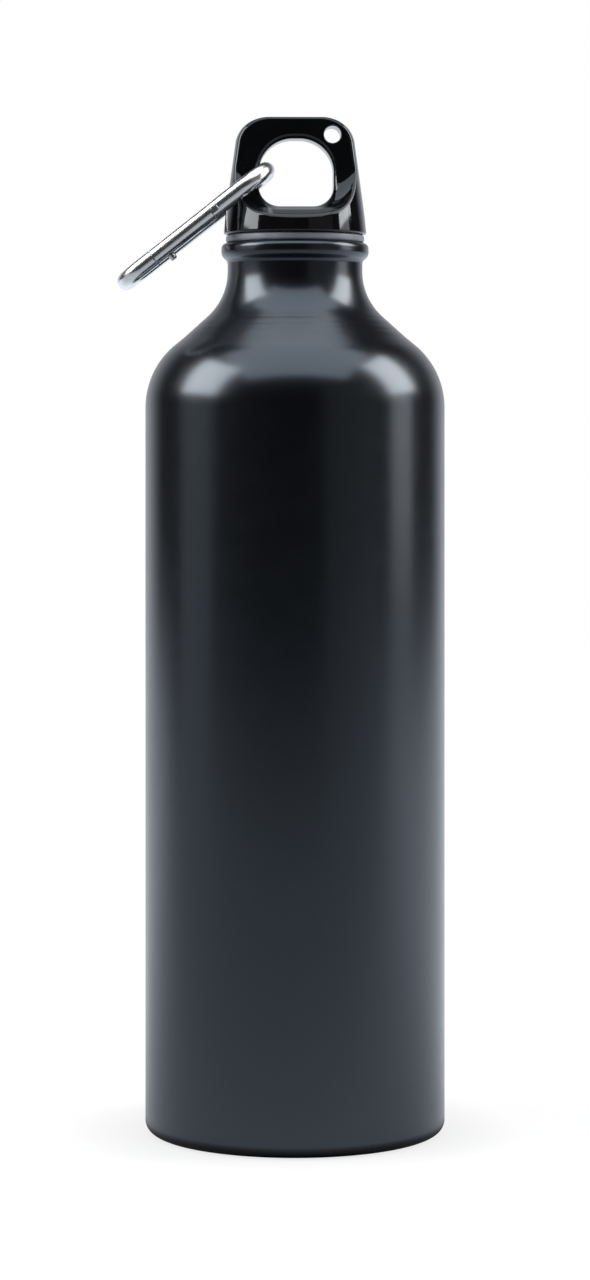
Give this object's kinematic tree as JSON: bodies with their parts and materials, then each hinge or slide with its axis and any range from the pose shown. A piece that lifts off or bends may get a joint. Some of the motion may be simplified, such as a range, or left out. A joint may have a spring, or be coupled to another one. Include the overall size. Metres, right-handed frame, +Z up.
{
  "type": "water bottle",
  "caption": "Tall aluminium water bottle with a rounded shoulder, a screw cap with a carry loop, a sealing ring and a spring-gate hook through the loop.",
  "frame": {"origin": "on the bottle's axis, in the plane of the ring that it stands on", "axes": "+Z up along the bottle's axis; the flat sides of the cap's loop face -Y (front) and +Y (back); the hook lies out to -X"},
  "size_m": [0.0807, 0.0738, 0.25],
  "materials": {
    "coated_body": "satin black coat on aluminium",
    "seal": "satin grey silicone",
    "cap_gloss": "mirror gloss black",
    "cap_satin": "satin black",
    "hook_metal": "polished silver",
    "pin_steel": "bright",
    "plunger_brass": "turned"
  },
  "bodies": {
    "bottle": {"bottle_body": "coated_body"},
    "seal": {"sealing_ring": "seal"},
    "cap": {"cap_shell": "cap_gloss", "cap_plug": "cap_satin"},
    "hook": {"hook_frame": "hook_metal", "gate_rivet": "pin_steel"},
    "gate": {"hook_gate": "hook_metal", "latch_pin": "pin_steel", "gate_spring": "pin_steel"},
    "plunger": {"gate_plunger": "plunger_brass"}
  },
  "joints": [
    {"name": "cap_lift", "type": "slide", "parent": "bottle", "child": "seal", "axis": [0, 0, 1], "range_m": [0, 0.0141]},
    {"name": "cap_turn", "type": "hinge", "parent": "seal", "child": "cap", "pos_m": [0, 0, 0.221], "axis": [0, 0, 1], "range_deg": [0, 1260]},
    {"name": "hook_swing", "type": "hinge", "parent": "cap", "child": "hook", "pos_m": [-0.00725, 0, 0.2367], "axis": [0, 1, 0], "range_deg": [0, 140]},
    {"name": "gate_open", "type": "hinge", "parent": "hook", "child": "gate", "pos_m": [-0.03178, -0.00764, 0.21747], "axis": [-0.617, 0, 0.7869], "range_deg": [0, 28], "stiffness_Nm_per_rad": 0.01, "springref_deg": -17.19},
    {"name": "plunger_slide", "type": "slide", "parent": "gate", "child": "plunger", "axis": [0.7803, -0.1292, 0.6119], "range_m": [0, 0.0005], "deforming": ["gate_spring"]}
  ],
  "couplings": [
    {"joint": "cap_lift", "follows": "cap_turn", "m_per_rad": 0.00063662},
    {"joint": "plunger_slide", "follows": "gate_open", "m_per_rad": 0.001}
  ]
}
